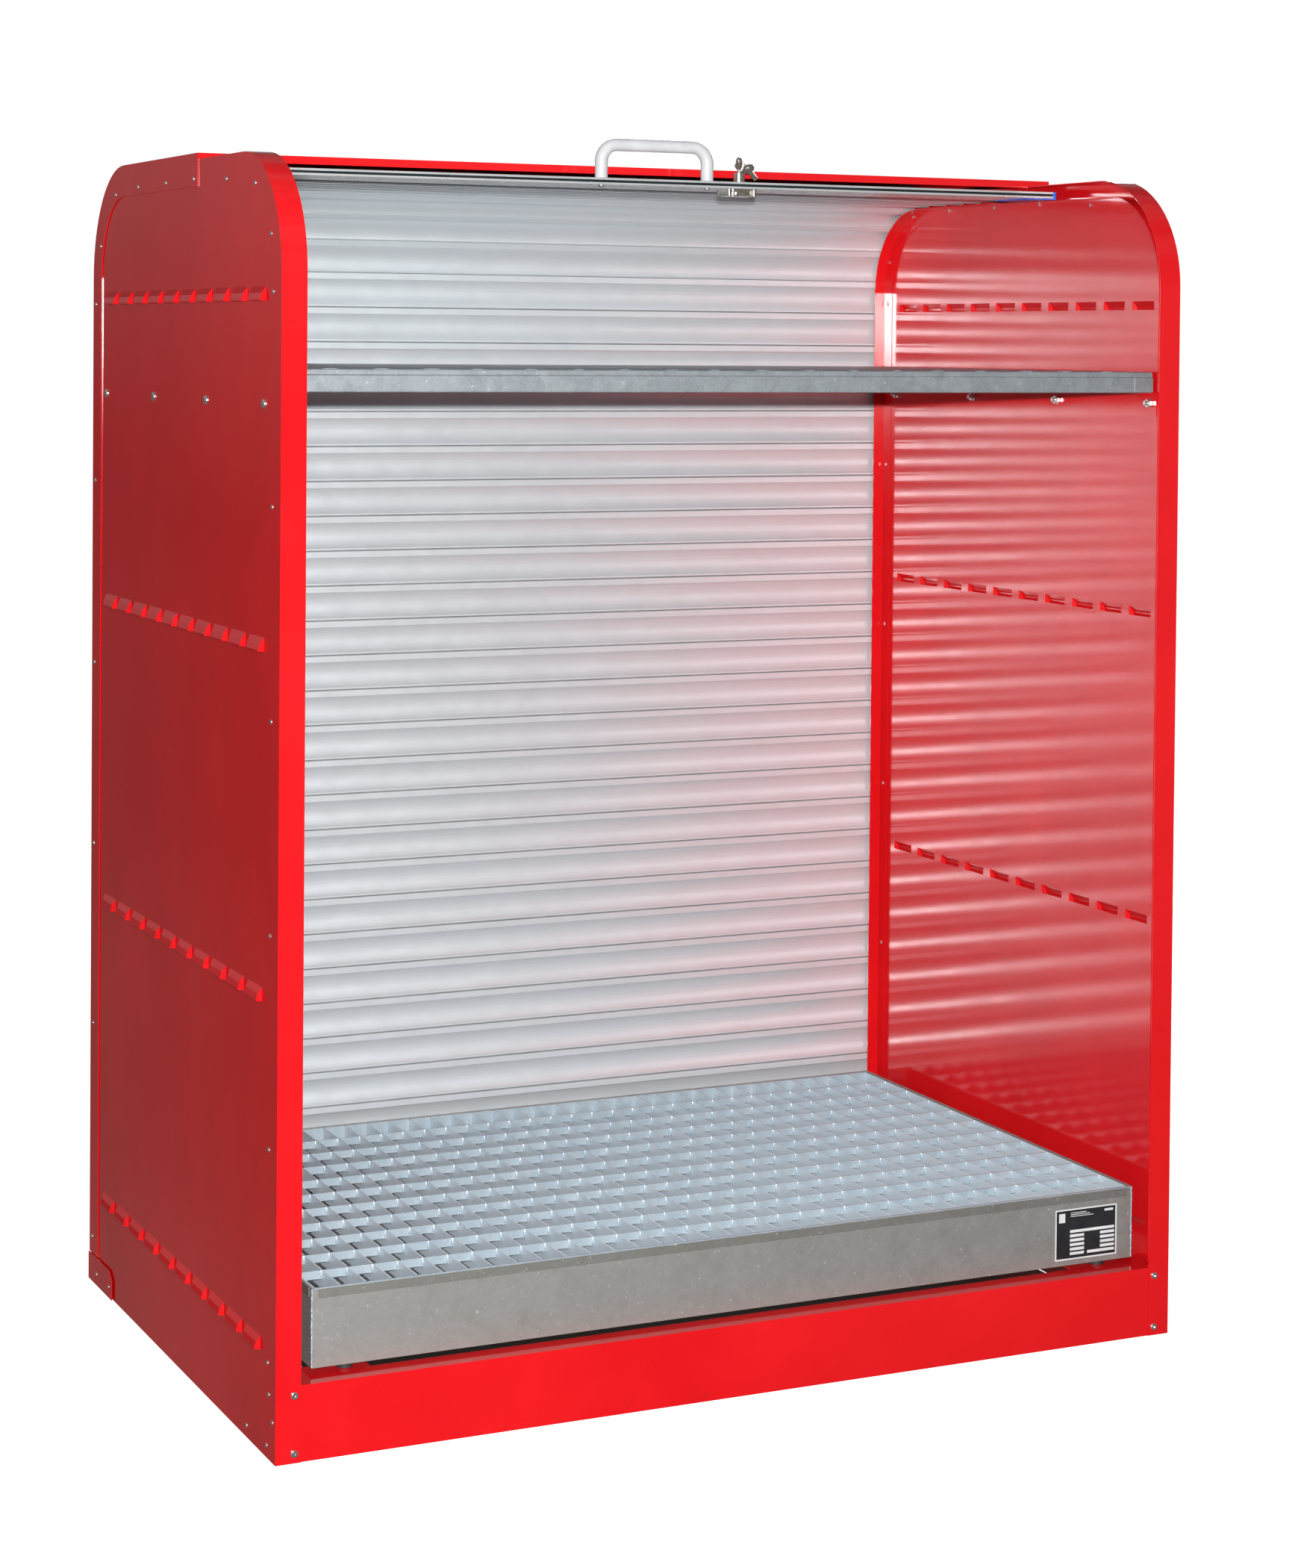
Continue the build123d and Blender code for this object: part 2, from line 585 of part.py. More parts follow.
BAR_REAR = path_point(joint_at(4 + TOP_SLATS))[0]
BAR_FRONT = BAR_REAR - BAR_DEPTH - SLAT_GAP / 2
BAR_UNDER = PANEL_HEIGHT - PATH_INSET - BAR_DROP
BAR_TOP = BAR_UNDER + BAR_THICK


def end_bar():
    y0, y1 = BAR_FRONT, BAR_REAR - SLAT_GAP / 2
    body = block(-BAR_HALF, BAR_HALF, y0, y1, BAR_UNDER, BAR_TOP)
    low, high = BAR_GROOVE
    groove = block(-BAR_HALF - 1, BAR_HALF + 1, y0 - 1, y0 + 9, BAR_UNDER + low, BAR_UNDER + high)
    chamber = block(-BAR_HALF - 1, BAR_HALF + 1, y0 + 44, y1 - 6, BAR_UNDER + 2, BAR_TOP - 2)
    line = block(-BAR_HALF - 1, BAR_HALF + 1, y0 + 58, y0 + 60, BAR_UNDER - 1, BAR_UNDER + 1)
    body = body - groove - chamber - line
    return body - rod(LOCK_X, y0 + LOCK_SETBACK + 6, BAR_UNDER - 1, LOCK_R, BAR_THICK + 2, "z")


bar = end_bar()


def end_cap():
    y0, y1 = BAR_FRONT, BAR_REAR - SLAT_GAP / 2
    cap = block(-CAP_HALF, -BAR_HALF, y0 + 1, y1 - 1, BAR_UNDER - 2, BAR_TOP)
    cap = fillet(cap.edges().filter_by(Axis.Z).group_by(Axis.X)[0], 4)
    skirt = block(-CAP_HALF + 4, -CAP_SKIRT_X, y0 + 5, y1 - 12, BAR_UNDER - 2, BAR_UNDER)
    tongue = block(-SLAT_HALF, -CAP_HALF + 2, y0 + 56, y1 - 12, BAR_UNDER + 3, BAR_TOP - 2)
    return cap + skirt + tongue


cap_left = end_cap()
end_caps = [cap_left, mirrored(cap_left)]


def bar_handle():
    y = BAR_FRONT + HANDLE_SETBACK
    xa, xb = HANDLE_X
    top = BAR_TOP + HANDLE_HEIGHT - HANDLE_R
    corner = HANDLE_CORNER
    rise = Line((xa, y, BAR_TOP), (xa, y, top - corner))
    left = TangentArc([(xa, y, top - corner), (xa + corner, y, top)], tangent=(0, 0, 1))
    across = Line((xa + corner, y, top), (xb - corner, y, top))
    right = TangentArc([(xb - corner, y, top), (xb, y, top - corner)], tangent=(1, 0, 0))
    fall = Line((xb, y, top - corner), (xb, y, BAR_TOP))
    run = Wire([rise, left, across, right, fall])
    ring = Plane((xa, y, BAR_TOP), x_dir=(1, 0, 0), z_dir=(0, 0, 1)) * Circle(HANDLE_R)
    return sweep(ring, path=run)


handle = bar_handle()
HANDLE_Y = BAR_FRONT + HANDLE_SETBACK
handle_screws = []
for hx in HANDLE_X:
    head = rod(hx, HANDLE_Y, BAR_UNDER - 1.6, 5.0, 1.6, "z")
    head = fillet(head.edges().sort_by(Axis.Z)[0], 1.0)
    handle_screws.append(head)

# ---------------------------------------------------------------- cylinder lock and keys
LOCK_Y = BAR_FRONT + LOCK_SETBACK + 6
CASE_TOP = BAR_UNDER - GAP
CASE_Z = CASE_TOP - 12.0
CASE_LEFT = LOCK_X - 29.0
CASE_RIGHT = LOCK_X + 26.5
CASE_DEPTH = 48.0
PIN_XS = (LOCK_X - 20.0, LOCK_X + 21.0)


def lock_case():
    """Case under the bar: open towards the bar's front edge for the bolt."""
    body = block(CASE_LEFT, CASE_RIGHT, BAR_FRONT + 2, BAR_FRONT + CASE_DEPTH, CASE_Z, CASE_TOP)
    body = fillet(body.edges().filter_by(Axis.Z), 2)
    mouth = block(LOCK_X - 24, CASE_RIGHT + 1, BAR_FRONT - 1, BAR_FRONT + 8, CASE_Z + 1.5, CASE_Z + 10.5)
    pocket_end = BAR_FRONT + CASE_DEPTH - 2
    pocket = block(LOCK_X - 13, LOCK_X + 13, BAR_FRONT - 1, pocket_end, CASE_Z + 2.5, CASE_Z + 7.5)
    body = body - mouth - pocket
    for x in PIN_XS:
        body += rod(x, BAR_FRONT + 4.5, CASE_Z + 0.5, 3.4, 11.0, "z")
    return body - rod(LOCK_X, LOCK_Y, CASE_Z + 4, ROTOR_R + 0.3, 20, "z")


def lock_bolt():
    plate = block(LOCK_X - 12.6, LOCK_X + 12.6, BAR_FRONT + 4, BAR_FRONT + 44, CASE_Z + 2.9, CASE_Z + 7.1)
    return plate - block(LOCK_X - 4, LOCK_X + 4, BAR_FRONT + 10, BAR_FRONT + 16, CASE_Z, CASE_Z + 20)


def lock_barrel():
    """Fixed sleeve through the bar with its collar on the outer face."""
    sleeve = rod(LOCK_X, LOCK_Y, BAR_UNDER, LOCK_R - 0.05, BAR_THICK, "z")
    collar = rod(LOCK_X, LOCK_Y, BAR_TOP, LOCK_R - 0.3, LOCK_HEIGHT - 2.5, "z")
    flange = rod(LOCK_X, LOCK_Y, BAR_TOP, LOCK_R + 1.2, 1.6, "z")
    body = sleeve + collar + flange
    return body - rod(LOCK_X, LOCK_Y, BAR_UNDER - 1, ROTOR_R + 0.3, 60, "z")


def lock_rotor():
    z0 = CASE_Z + 8.0
    z1 = BAR_TOP + LOCK_HEIGHT
    plug = rod(LOCK_X, LOCK_Y, z0, ROTOR_R, z1 - z0, "z")
    slot = block(LOCK_X - 1.4, LOCK_X + 1.4, LOCK_Y - 4.6, LOCK_Y + 4.6, z1 - 24, z1 + 1)
    return plug - slot


ROTOR_TOP = BAR_TOP + LOCK_HEIGHT
BOW_R = 11.0
BOW_Z = ROTOR_TOP + 4.0 + BOW_R
EYE_R = 3.4
EYE_Z = BOW_Z + 3.5


def key_shape():
    """Flat key with a round bow; blade down, bow in the Y-Z plane, centred on the rotor's axis."""
    blade = block(-1.1, 1.1, -4.0, 4.0, -22.0, 5.0)
    for i, depth in enumerate((1.4, 2.4, 1.0, 2.0, 1.6)):
        z = -19.0 + i * 4.0
        blade -= block(-2, 2, 4.0 - depth, 5.0, z, z + 2.2)
    bow = Pos(-1.1, 0, 4.0 + BOW_R) * Rot(0, 90, 0) * Pos(0, 0, 1.1) * Cylinder(BOW_R, 2.2)
    eye = Pos(0, 0, 4.0 + BOW_R + 3.5) * Rot(0, 90, 0) * Cylinder(EYE_R, 8)
    return (blade + bow) - eye


key = Pos(LOCK_X, LOCK_Y, ROTOR_TOP) * key_shape()
RING_R = 11.0
RING_WIRE = 0.9
RING_DROP = 50.0          # the ring's plane leans forwards and down from the key's eye
SPARE_ROUND = 0.0         # where the spare key sits on the ring, degrees below its right-hand side
SPARE_LEAN = 45.0
EYE_REST = EYE_R - RING_WIRE - 0.3
ring_dir = Vector(0, -math.cos(math.radians(RING_DROP)), -math.sin(math.radians(RING_DROP)))
ring_side = Vector(1, 0, 0)
ring_normal = ring_side.cross(ring_dir)
key_eye = Vector(LOCK_X, LOCK_Y, EYE_Z)
ring_centre = key_eye + ring_dir * (EYE_REST + RING_R)
key_ring = Plane(ring_centre, x_dir=ring_side, z_dir=ring_normal) * Torus(RING_R, RING_WIRE)


def spare_key():
    """Second key on the ring, leaning out to the right until its tip nears the bar."""
    turn = math.radians(SPARE_ROUND)
    lean = math.radians(SPARE_LEAN)
    outwards = ring_side * math.cos(turn) + ring_dir * math.sin(turn)
    wire = ring_side * math.sin(turn) - ring_dir * math.cos(turn)
    hang = outwards * math.cos(lean) + ring_normal * math.sin(lean)
    eye = ring_centre + outwards * RING_R + hang * EYE_REST
    seat = Plane(eye, x_dir=wire, z_dir=hang * -1)
    return seat * Pos(0, 0, -(EYE_Z - ROTOR_TOP)) * key_shape()


case = lock_case()
bolt = lock_bolt()
barrel = lock_barrel()
rotor = lock_rotor()


# ---------------------------------------------------------------- nodes
def group(items):
    return Compound(list(items))


nodes = {
    "side_panel_left": panel_left,
    "side_panel_right": panel_right,
    "guide_rail_left": rail_left,
    "guide_rail_right": rail_right,
    "rear_cover": cover,
    "front_plinth": plinth,
    "plinth_brackets": ties,
    "rear_base": base_rear,
    "corner_ears": ears,
    "rail_rivets": group(rail_rivets),
    "cover_rivets": group(cover_rivets),
    "base_rivets": group(plinth_rivets + ear_rivets),
    "plinth_screws": group(plinth_screws),
    "shelf": shelf_sheet(),
    "shelf_bracket_left": bracket_left,
    "shelf_bracket_right": bracket_right,
    "bracket_bolts": group(bracket_bolts),
    "bracket_nuts": group(bracket_nuts),
    "spill_tray": tray,
    "grating_rests": rests,
    "grating": grate,
    "tray_feet": group(tray_feet),
    "type_plate": type_plate,
    "earth_lug": lug,
    "back_slats": group(back_slats),
    "entry_slat_low": entry_slat_low,
    "entry_slat_high": entry_slat_high,
    "bend_slats": group(bend_slats),
    "exit_slat_low": exit_slat_low,
    "exit_slat_high": exit_slat_high,
    "top_slats": group(top_slats),
    "end_bar": bar,
    "end_caps": group(end_caps),
    "handle": handle,
    "handle_screws": group(handle_screws),
    "lock_case": case,
    "lock_bolt": bolt,
    "lock_barrel": barrel,
    "lock_rotor": rotor,
    "key": key,
    "key_ring": key_ring,
    "spare_key": spare_key(),
}

os.makedirs("parts", exist_ok=True)
for name, shape in nodes.items():
    export_step(Pos(0, BACK_SHIFT, 0) * shape, "parts/" + name + ".step")
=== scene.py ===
import json
import math
import random

import bmesh
import bpy
from mathutils import Matrix, Vector


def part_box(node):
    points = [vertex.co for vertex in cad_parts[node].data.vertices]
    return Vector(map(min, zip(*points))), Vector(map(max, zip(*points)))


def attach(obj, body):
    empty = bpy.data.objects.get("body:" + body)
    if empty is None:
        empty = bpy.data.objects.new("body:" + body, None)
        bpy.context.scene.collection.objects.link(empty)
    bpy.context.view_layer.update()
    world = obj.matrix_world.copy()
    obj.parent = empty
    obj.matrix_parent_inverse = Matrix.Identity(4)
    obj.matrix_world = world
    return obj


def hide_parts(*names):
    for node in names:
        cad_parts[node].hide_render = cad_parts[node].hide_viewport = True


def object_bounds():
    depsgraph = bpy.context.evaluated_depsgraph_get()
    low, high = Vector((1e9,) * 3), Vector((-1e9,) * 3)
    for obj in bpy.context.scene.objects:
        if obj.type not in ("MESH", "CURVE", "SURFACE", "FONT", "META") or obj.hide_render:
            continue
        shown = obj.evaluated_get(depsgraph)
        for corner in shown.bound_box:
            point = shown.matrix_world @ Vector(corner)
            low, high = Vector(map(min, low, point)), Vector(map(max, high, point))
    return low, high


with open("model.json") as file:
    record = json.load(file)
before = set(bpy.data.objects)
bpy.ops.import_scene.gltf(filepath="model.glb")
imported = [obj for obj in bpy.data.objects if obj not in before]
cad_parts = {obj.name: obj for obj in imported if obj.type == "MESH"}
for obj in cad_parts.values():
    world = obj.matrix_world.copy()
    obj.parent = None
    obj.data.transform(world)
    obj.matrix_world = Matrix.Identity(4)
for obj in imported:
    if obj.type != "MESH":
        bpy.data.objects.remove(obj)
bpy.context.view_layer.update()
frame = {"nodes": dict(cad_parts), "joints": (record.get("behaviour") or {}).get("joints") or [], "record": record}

JOINTS = {joint["name"]: joint for joint in frame["joints"]}
MM = 0.001


# ================================================================ measures read from the frame
def low(node):
    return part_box(node)[0]


def high(node):
    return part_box(node)[1]


PITCH = JOINTS["curtain_lift"]["range_m"][1]
BEND_Y, BEND_Z = JOINTS["bend_turn"]["pos_m"][1:]
SLAT_INNER = 4.4 * MM                     # inner face of a slat to the shutter's centre line
SLAT_PLAY = 1.2 * MM                      # half of the gap between neighbouring slats
RUN_Y = low("back_slats").y + SLAT_INNER  # centre line of the back run
BEND_R = RUN_Y - BEND_Y
SLAT_HALF = high("back_slats").x
FIRST_JOINT = low("entry_slat_low").z - BEND_Z + 2 * PITCH - SLAT_PLAY
BACK_COUNT = round((high("back_slats").z - low("back_slats").z) / PITCH)
TOP_COUNT = round((high("top_slats").y - low("top_slats").y) / PITCH)


# ================================================================ materials
class Look:
    """One Principled material with small helpers for procedural detail in object space (metres)."""

    def __init__(self, name, **values):
        self.material = bpy.data.materials.new(name)
        self.material.use_nodes = True
        self.tree = self.material.node_tree
        self.shader = self.tree.nodes["Principled BSDF"]
        self.place = self.tree.nodes.new("ShaderNodeTexCoord").outputs["Object"]
        self.normal = None
        for socket, value in values.items():
            self.shader.inputs[socket.replace("_", " ")].default_value = value

    def stretched(self, scale):
        node = self.tree.nodes.new("ShaderNodeMapping")
        node.inputs["Scale"].default_value = scale
        self.tree.links.new(self.place, node.inputs["Vector"])
        return node.outputs["Vector"]

    def noise(self, scale, detail=3.0, rough=0.55, along=None, warp=0.0):
        node = self.tree.nodes.new("ShaderNodeTexNoise")
        node.inputs["Scale"].default_value = scale
        node.inputs["Detail"].default_value = detail
        node.inputs["Roughness"].default_value = rough
        node.inputs["Distortion"].default_value = warp
        self.tree.links.new(self.stretched(along) if along else self.place, node.inputs["Vector"])
        return node.outputs["Fac"]

    def cells(self, scale, output="Color"):
        node = self.tree.nodes.new("ShaderNodeTexVoronoi")
        node.inputs["Scale"].default_value = scale
        self.tree.links.new(self.place, node.inputs["Vector"])
        return node.outputs[output]

    def span(self, source, a, b, to_a=0.0, to_b=1.0):
        """Maps source from a..b to to_a..to_b, clamped."""
        node = self.tree.nodes.new("ShaderNodeMapRange")
        for socket, value in zip(("From Min", "From Max", "To Min", "To Max"), (a, b, to_a, to_b)):
            node.inputs[socket].default_value = value
        self.tree.links.new(source, node.inputs["Value"])
        return node.outputs["Result"]

    def math(self, kind, a, b):
        node = self.tree.nodes.new("ShaderNodeMath")
        node.operation = kind
        for socket, value in zip(node.inputs, (a, b)):
            if isinstance(value, (int, float)):
                socket.default_value = value
            else:
                self.tree.links.new(value, socket)
        return node.outputs[0]

    def axis(self, name):
        node = self.tree.nodes.new("ShaderNodeSeparateXYZ")
        self.tree.links.new(self.place, node.inputs[0])
        return node.outputs[name]

    def mix(self, factor, a, b):
        node = self.tree.nodes.new("ShaderNodeMix")
        node.data_type = "RGBA"
        self.tree.links.new(factor, node.inputs["Factor"])
        for socket, value in ((node.inputs[6], a), (node.inputs[7], b)):
            if isinstance(value, tuple):
                socket.default_value = (*value, 1.0)
            else:
                self.tree.links.new(value, socket)
        return node.outputs[2]

    def set(self, socket, source):
        self.tree.links.new(source, self.shader.inputs[socket])

    def bump(self, height, depth, strength=1.0):
        node = self.tree.nodes.new("ShaderNodeBump")
        node.inputs["Strength"].default_value = strength
        node.inputs["Distance"].default_value = depth
        self.tree.links.new(height, node.inputs["Height"])
        if self.normal:
            self.tree.links.new(self.normal, node.inputs["Normal"])
        self.normal = node.outputs["Normal"]
        self.set("Normal", self.normal)


def red_coat():
    """Glossy powder coat: orange peel, slightly uneven sheet, smudges, scuffs near the floor."""
    look = Look("red_powder_coat", IOR=1.52)
    tone = look.noise(3.0, 4.0, 0.6)
    base = look.mix(look.span(tone, 0.35, 0.65), (0.56, 0.005, 0.008), (0.63, 0.008, 0.011))
    specks = look.span(look.noise(420.0, 1.0), 0.80, 0.84)
    base = look.mix(specks, base, (0.85, 0.04, 0.04))
    scuff_height = look.span(look.axis("Z"), 0.03, 0.0)
    scuff = look.math("MULTIPLY", scuff_height, look.span(look.noise(70.0, 6.0, 0.7), 0.58, 0.72))
    base = look.mix(scuff, base, (0.30, 0.010, 0.010))
    look.set("Base Color", base)
    smudge = look.span(look.noise(5.0, 5.0, 0.65, warp=0.6), 0.3, 0.75, 0.075, 0.13)
    look.set("Roughness", look.math("ADD", smudge, look.math("MULTIPLY", scuff, 0.25)))
    look.bump(look.noise(2.4, 1.0, 0.4), 0.0004, 1.0)
    look.bump(look.noise(650.0, 2.0, 0.5), 0.00006, 0.4)
    return look.material


def galvanised(name, dark, light, metallic, rough):
    """Zinc coat: weak spangle cells of two sizes, cloud and fine grain, white bloom and pulled streaks."""
    look = Look(name, Metallic=metallic)
    big = look.cells(70.0)
    small = look.cells(210.0)
    cloud = look.span(look.noise(16.0, 5.0, 0.65, warp=0.8), 0.3, 0.72)
    fine = look.noise(650.0, 3.0, 0.7)
    grain = look.math("ADD", look.math("MULTIPLY", big, 0.22), look.math("MULTIPLY", small, 0.18))
    grain = look.math("ADD", grain, look.math("MULTIPLY", cloud, 0.40))
    grain = look.math("ADD", grain, look.math("MULTIPLY", fine, 0.40))
    base = look.mix(look.span(grain, 0.25, 0.95), dark, light)
    bloom = look.span(look.noise(120.0, 5.0, 0.75), 0.62, 0.74, 0.0, 0.8)
    base = look.mix(bloom, base, (0.86, 0.88, 0.90))
    streak = look.span(look.noise(1.0, 3.0, along=(9.0, 9.0, 60.0)), 0.62, 0.78, 0.0, 0.35)
    base = look.mix(streak, base, light)
    look.set("Base Color", base)
    look.set("Roughness", look.span(grain, 0.2, 1.0, rough + 0.12, rough - 0.08))
    look.bump(look.noise(140.0, 3.0, 0.6), 0.0004, 0.35)
    look.bump(small, 0.00008, 0.4)
    return look.material


def slat_metal():
    """Satin anodised extrusion: long drawing lines along X, faint handling marks."""
    look = Look("satin_aluminium", Metallic=0.5)
    lines = look.noise(1.0, 3.0, 0.6, along=(0.6, 1400.0, 1400.0))
    cloud = look.noise(7.0, 4.0, 0.6)
    base = look.mix(look.span(lines, 0.35, 0.65), (0.665, 0.72, 0.745), (0.715, 0.77, 0.80))
    base = look.mix(look.span(cloud, 0.60, 0.85, 0.0, 0.5), base, (0.66, 0.70, 0.725))
    look.set("Base Color", base)
    look.set("Roughness", look.span(look.noise(30.0, 4.0, 0.65), 0.3, 0.7, 0.36, 0.44))
    look.bump(lines, 0.000008, 0.4)
    return look.material


def gap_shade_metal(name, dark, light):
    """Dark mill-finish aluminium with a mottled tone: painted shade in slat joints and grooves."""
    look = Look(name, Metallic=0.6, Roughness=0.62)
    mottle = look.noise(14.0, 5.0, 0.65)
    look.set("Base Color", look.mix(look.span(mottle, 0.3, 0.7), dark, light))
    look.bump(look.noise(300.0, 3.0), 0.00005, 0.4)
    return look.material


def bar_metal():
    """Bright extrusion of the end bar."""
    look = Look("bright_aluminium", Metallic=0.6)
    lines = look.noise(1.0, 3.0, 0.6, along=(0.8, 700.0, 700.0))
    look.set("Base Color", look.mix(look.span(lines, 0.3, 0.7), (0.62, 0.63, 0.65), (0.74, 0.75, 0.76)))
    look.set("Roughness", look.span(look.noise(24.0, 4.0), 0.3, 0.7, 0.24, 0.34))
    look.bump(lines, 0.00002, 0.4)
    return look.material


def plated(name, dark, light, rough, scale=160.0):
    """Plated small metal parts with tool marks and dulled patches."""
    look = Look(name, Metallic=0.95)
    patch = look.noise(scale, 4.0, 0.6)
    look.set("Base Color", look.mix(look.span(patch, 0.35, 0.7), dark, light))
    look.set("Roughness", look.span(patch, 0.3, 0.75, rough + 0.14, rough))
    look.bump(look.noise(scale * 9, 2.0), 0.00004, 0.5)
    return look.material


def moulded(name, dark, light, rough, pebble=700.0, depth=0.00006):
    """Plastic or rubber with a fine moulded grain and uneven gloss."""
    look = Look(name, IOR=1.48)
    patch = look.noise(22.0, 4.0, 0.6)
    look.set("Base Color", look.mix(look.span(patch, 0.3, 0.7), dark, light))
    look.set("Roughness", look.span(look.noise(60.0, 4.0, 0.65), 0.3, 0.7, rough - 0.06, rough + 0.08))
    look.bump(look.cells(pebble, "Distance"), depth, 0.6)
    return look.material


def handle_coat():
    """Light grey coat of the grab handle, rubbed smoother where hands hold it."""
    look = Look("handle_coat", IOR=1.5)
    patch = look.noise(30.0, 4.0, 0.6)
    look.set("Base Color", look.mix(look.span(patch, 0.3, 0.7), (0.47, 0.47, 0.485), (0.56, 0.56, 0.57)))
    held = look.span(look.axis("Z"), high("handle").z - 0.03, high("handle").z - 0.005)
    grain = look.span(look.noise(90.0, 4.0, 0.65), 0.3, 0.7, 0.32, 0.44)
    look.set("Roughness", look.math("SUBTRACT", grain, look.math("MULTIPLY", held, 0.10)))
    look.bump(look.noise(800.0, 2.0), 0.00008, 0.4)
    return look.material


PLATE_GRAIN = 1500.0      # cells per metre
PLATE_RELIEF = 0.00002
LOOKS = {
    "red_coat": red_coat(),
    "galvanised": galvanised("galvanised_shelf", (0.19, 0.21, 0.225), (0.38, 0.415, 0.44), 0.55, 0.48),
    "zinc": plated("zinc_plate", (0.55, 0.55, 0.53), (0.82, 0.82, 0.80), 0.16, 260.0),
    "aluminium": slat_metal(),
    "nickel": plated("nickel_plate", (0.42, 0.38, 0.32), (0.78, 0.74, 0.68), 0.14, 180.0),
    "brass": plated("dull_brass", (0.10, 0.05, 0.025), (0.24, 0.13, 0.06), 0.50, 220.0),
    "blue_plastic": moulded("blue_moulding", (0.010, 0.09, 0.50), (0.016, 0.14, 0.66), 0.34),
    "handle_plastic": handle_coat(),
    "plate_black": moulded("plate_enamel", (0.012, 0.012, 0.014), (0.022, 0.022, 0.025), 0.30,
                           PLATE_GRAIN, PLATE_RELIEF),
    "black_rubber": moulded("rubber", (0.012, 0.012, 0.012), (0.028, 0.028, 0.028), 0.62, 420.0, 0.00015),
}
GRATE_ZINC = galvanised("galvanised_grating", (0.32, 0.40, 0.46), (0.49, 0.565, 0.61), 0.35, 0.42)
# lighter, less metallic zinc of the bearing bars: painted light, standing in for light bounced between the bars
BEARER_LIT_ZINC = galvanised("galvanised_bearers", (0.50, 0.60, 0.67), (0.60, 0.68, 0.73), 0.15, 0.42)
TRAY_ZINC = galvanised("galvanised_tray", (0.25, 0.245, 0.23), (0.39, 0.39, 0.375), 0.60, 0.50)
HEM_ZINC = galvanised("galvanised_hem", (0.19, 0.188, 0.17), (0.29, 0.29, 0.27), 0.60, 0.48)
BAR_METAL = bar_metal()
# dark aluminium behind the slat joints: painted shade in the joint lines
JOINT_SHADE_METAL = gap_shade_metal("joint_aluminium", (0.17, 0.185, 0.19), (0.28, 0.295, 0.30))
# near-black aluminium for the end bar's groove: painted shade in the recess
GROOVE_SHADE_METAL = gap_shade_metal("groove_aluminium", (0.006, 0.012, 0.013), (0.014, 0.024, 0.026))
PLATE_PRINT = moulded("plate_print", (0.52, 0.53, 0.53), (0.66, 0.67, 0.67), 0.42, PLATE_GRAIN, PLATE_RELIEF)


def dress_frame():
    """Gives every CAD node the material of its slot."""
    slots = {part["node"]: part["material_slot"] for part in frame["record"]["subparts"]}
    special = {"spill_tray": TRAY_ZINC, "end_bar": BAR_METAL, "grating": GRATE_ZINC}
    for node, piece in frame["nodes"].items():
        material = special.get(node, LOOKS[slots[node]])
        if not piece.material_slots:
            piece.data.materials.append(material)
        for slot in piece.material_slots:
            slot.material = material


# ================================================================ mesh helpers
def finish_piece(name, mesh_maker, body, materials, stands_for=(), sharp=32.0):
    """Turns a bmesh into a named piece on a body, smooth apart from edges sharper than the angle."""
    mesh = bpy.data.meshes.new(name)
    bmesh.ops.recalc_face_normals(mesh_maker, faces=mesh_maker.faces)
    mesh_maker.to_mesh(mesh)
    mesh_maker.free()
    mesh.shade_smooth()
    mesh.set_sharp_from_angle(angle=math.radians(sharp))
    piece = bpy.data.objects.new(name, mesh)
    bpy.context.scene.collection.objects.link(piece)
    for material in materials:
        mesh.materials.append(material)
    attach(piece, body)
    if stands_for:
        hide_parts(*stands_for)


def add_loft(maker, rings, material=0):
    """Closed rings of equal length joined into a tube with closed ends."""
    rows = [[maker.verts.new(point) for point in ring] for ring in rings]
    count = len(rows[0])
    for one, two in zip(rows, rows[1:]):
        for i in range(count):
            j = (i + 1) % count
            maker.faces.new((one[i], one[j], two[j], two[i])).material_index = material
    for end in (rows[0], rows[-1]):
        maker.faces.new(end).material_index = material


def add_strip(maker, outline, x0, x1, material=0):
    """Closed Y-Z outline run along X."""
    add_loft(maker, [[(x, y, z) for y, z in outline] for x in (x0, x1)], material)


def add_block(maker, corner_a, corner_b, chamfer, material=0):
    """Box with chamfered edges all round."""
    ax, ay, az = corner_a
    bx, by, bz = corner_b
    c = chamfer

    def ring(z, inset):
        x0, x1, y0, y1 = ax + inset, bx - inset, ay + inset, by - inset
        return [(x0 + c, y0, z), (x1 - c, y0, z), (x1, y0 + c, z), (x1, y1 - c, z),
                (x1 - c, y1, z), (x0 + c, y1, z), (x0, y1 - c, z), (x0, y0 + c, z)]

    add_loft(maker, [ring(az, c), ring(az + c, 0), ring(bz - c, 0), ring(bz, c)], material)


def round_ring(x, y, z, radius, sides):
    """Level circle of points."""
    turns = [math.tau * i / sides for i in range(sides)]
    return [(x + radius * math.cos(a), y + radius * math.sin(a), z) for a in turns]


def rounded(points, radius, steps=5):
    """Polyline with its inner corners turned into arcs."""
    path = [Vector(points[0])]
    for before, corner, after in zip(points, points[1:], points[2:]):
        corner = Vector(corner)
        one = (Vector(before) - corner).normalized()
        two = (Vector(after) - corner).normalized()
        half = one.angle(two) / 2
        reach = radius / math.tan(half)
        centre = corner + (one + two).normalized() * (radius / math.sin(half))
        start, end = corner + one * reach, corner + two * reach
        a, b = start - centre, end - centre
        for i in range(steps + 1):
            f = i / steps
            path.append(centre + ((a * (1 - f) + b * f).normalized() * radius))
    path.append(Vector(points[-1]))
    return path


def sheet_outline(points, wall, radius):
    """Folded sheet seen from the end: centre line with round bends, thickened to a closed outline."""
    path = rounded(points, radius)
    left, right = [], []
    for i, point in enumerate(path):
        before, after = path[max(i - 1, 0)], path[min(i + 1, len(path) - 1)]
        along = (after - before).normalized()
        side = Vector((-along.y, along.x)) * wall / 2
        left.append(tuple(point + side))
        right.append(tuple(point - side))
    return left + right[::-1]


